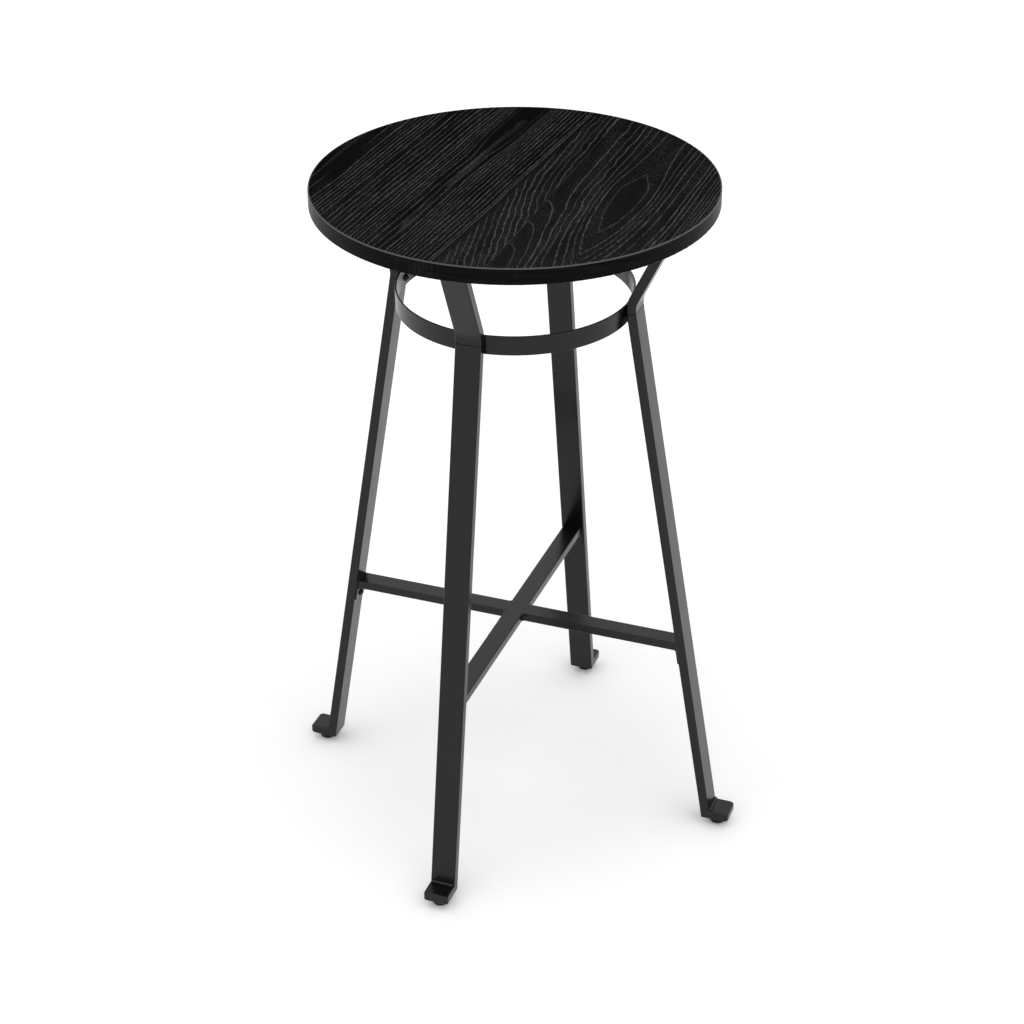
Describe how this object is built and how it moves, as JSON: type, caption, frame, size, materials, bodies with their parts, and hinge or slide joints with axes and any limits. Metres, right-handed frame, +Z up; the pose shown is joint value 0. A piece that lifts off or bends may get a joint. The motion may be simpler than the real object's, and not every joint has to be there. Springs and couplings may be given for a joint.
{
  "type": "pub table",
  "caption": "Round bar-height pub table with bent tube legs, an upright waist ring, a low cross brace and screw-in levelling glides.",
  "frame": {"origin": "on the floor under the centre of the round top", "axes": "+Z up; the legs stand on the X and Y axes, the front leg on -Y and the right leg on +X; the through bar of the brace runs along Y"},
  "size_m": [0.741, 0.741, 1.0735],
  "materials": {
    "top_sheet": "black-stained, brushed grain, satin",
    "edge_band": "black-stained matching band, satin",
    "core_board": "raw fibreboard",
    "backer_sheet": "plain black sheet, matt",
    "powder_coat": "satin black powder coat on steel",
    "black_bolt": "black oxide",
    "zinc_steel": "bright zinc plate",
    "plug_plastic": "moulded black plastic",
    "glide_plastic": "moulded black plastic"
  },
  "bodies": {
    "table": {"top_core": "core_board", "top_veneer": "top_sheet", "bottom_backer": "backer_sheet", "edge_band": "edge_band", "top_wood_screws": "zinc_steel", "ring_hoop": "powder_coat", "ring_bolts": "black_bolt", "ring_taper_washers": "powder_coat", "ring_bushes": "zinc_steel", "brace_long_bar": "powder_coat", "brace_short_bar_right": "powder_coat", "brace_short_bar_left": "powder_coat", "brace_welds": "powder_coat", "brace_bolts": "black_bolt", "brace_bushes": "zinc_steel", "glide_nuts": "zinc_steel", "toe_welds": "powder_coat", "leg_front_lower": "powder_coat", "leg_front_upper": "powder_coat", "leg_front_top_plate": "powder_coat", "foot_front_toe": "powder_coat", "foot_front_plug": "plug_plastic", "brace_tab_front": "powder_coat", "leg_right_lower": "powder_coat", "leg_right_upper": "powder_coat", "leg_right_top_plate": "powder_coat", "foot_right_toe": "powder_coat", "foot_right_plug": "plug_plastic", "brace_tab_right": "powder_coat", "leg_back_lower": "powder_coat", "leg_back_upper": "powder_coat", "leg_back_top_plate": "powder_coat", "foot_back_toe": "powder_coat", "foot_back_plug": "plug_plastic", "brace_tab_back": "powder_coat", "leg_left_lower": "powder_coat", "leg_left_upper": "powder_coat", "leg_left_top_plate": "powder_coat", "foot_left_toe": "powder_coat", "foot_left_plug": "plug_plastic", "brace_tab_left": "powder_coat"},
    "stud_front": {"glide_front_stud": "zinc_steel"},
    "pad_front": {"glide_front_pad": "glide_plastic"},
    "stud_right": {"glide_right_stud": "zinc_steel"},
    "pad_right": {"glide_right_pad": "glide_plastic"},
    "stud_back": {"glide_back_stud": "zinc_steel"},
    "pad_back": {"glide_back_pad": "glide_plastic"},
    "stud_left": {"glide_left_stud": "zinc_steel"},
    "pad_left": {"glide_left_pad": "glide_plastic"}
  },
  "joints": [
    {"name": "glide_front_lift", "type": "slide", "parent": "table", "child": "stud_front", "axis": [0, 0, -1], "range_m": [0, 0.008]},
    {"name": "glide_front_turn", "type": "hinge", "parent": "stud_front", "child": "pad_front", "pos_m": [0, -0.3485, 0], "axis": [0, 0, -1], "range_deg": [0, 2300]},
    {"name": "glide_right_lift", "type": "slide", "parent": "table", "child": "stud_right", "axis": [0, 0, -1], "range_m": [0, 0.008]},
    {"name": "glide_right_turn", "type": "hinge", "parent": "stud_right", "child": "pad_right", "pos_m": [0.3485, 0, 0], "axis": [0, 0, -1], "range_deg": [0, 2300]},
    {"name": "glide_back_lift", "type": "slide", "parent": "table", "child": "stud_back", "axis": [0, 0, -1], "range_m": [0, 0.008]},
    {"name": "glide_back_turn", "type": "hinge", "parent": "stud_back", "child": "pad_back", "pos_m": [0, 0.3485, 0], "axis": [0, 0, -1], "range_deg": [0, 2300]},
    {"name": "glide_left_lift", "type": "slide", "parent": "table", "child": "stud_left", "axis": [0, 0, -1], "range_m": [0, 0.008]},
    {"name": "glide_left_turn", "type": "hinge", "parent": "stud_left", "child": "pad_left", "pos_m": [-0.3485, 0, 0], "axis": [0, 0, -1], "range_deg": [0, 2300]}
  ],
  "couplings": [
    {"joint": "glide_front_lift", "follows": "glide_front_turn", "m_per_rad": 0.00019894},
    {"joint": "glide_right_lift", "follows": "glide_right_turn", "m_per_rad": 0.00019894},
    {"joint": "glide_back_lift", "follows": "glide_back_turn", "m_per_rad": 0.00019894},
    {"joint": "glide_left_lift", "follows": "glide_left_turn", "m_per_rad": 0.00019894}
  ]
}
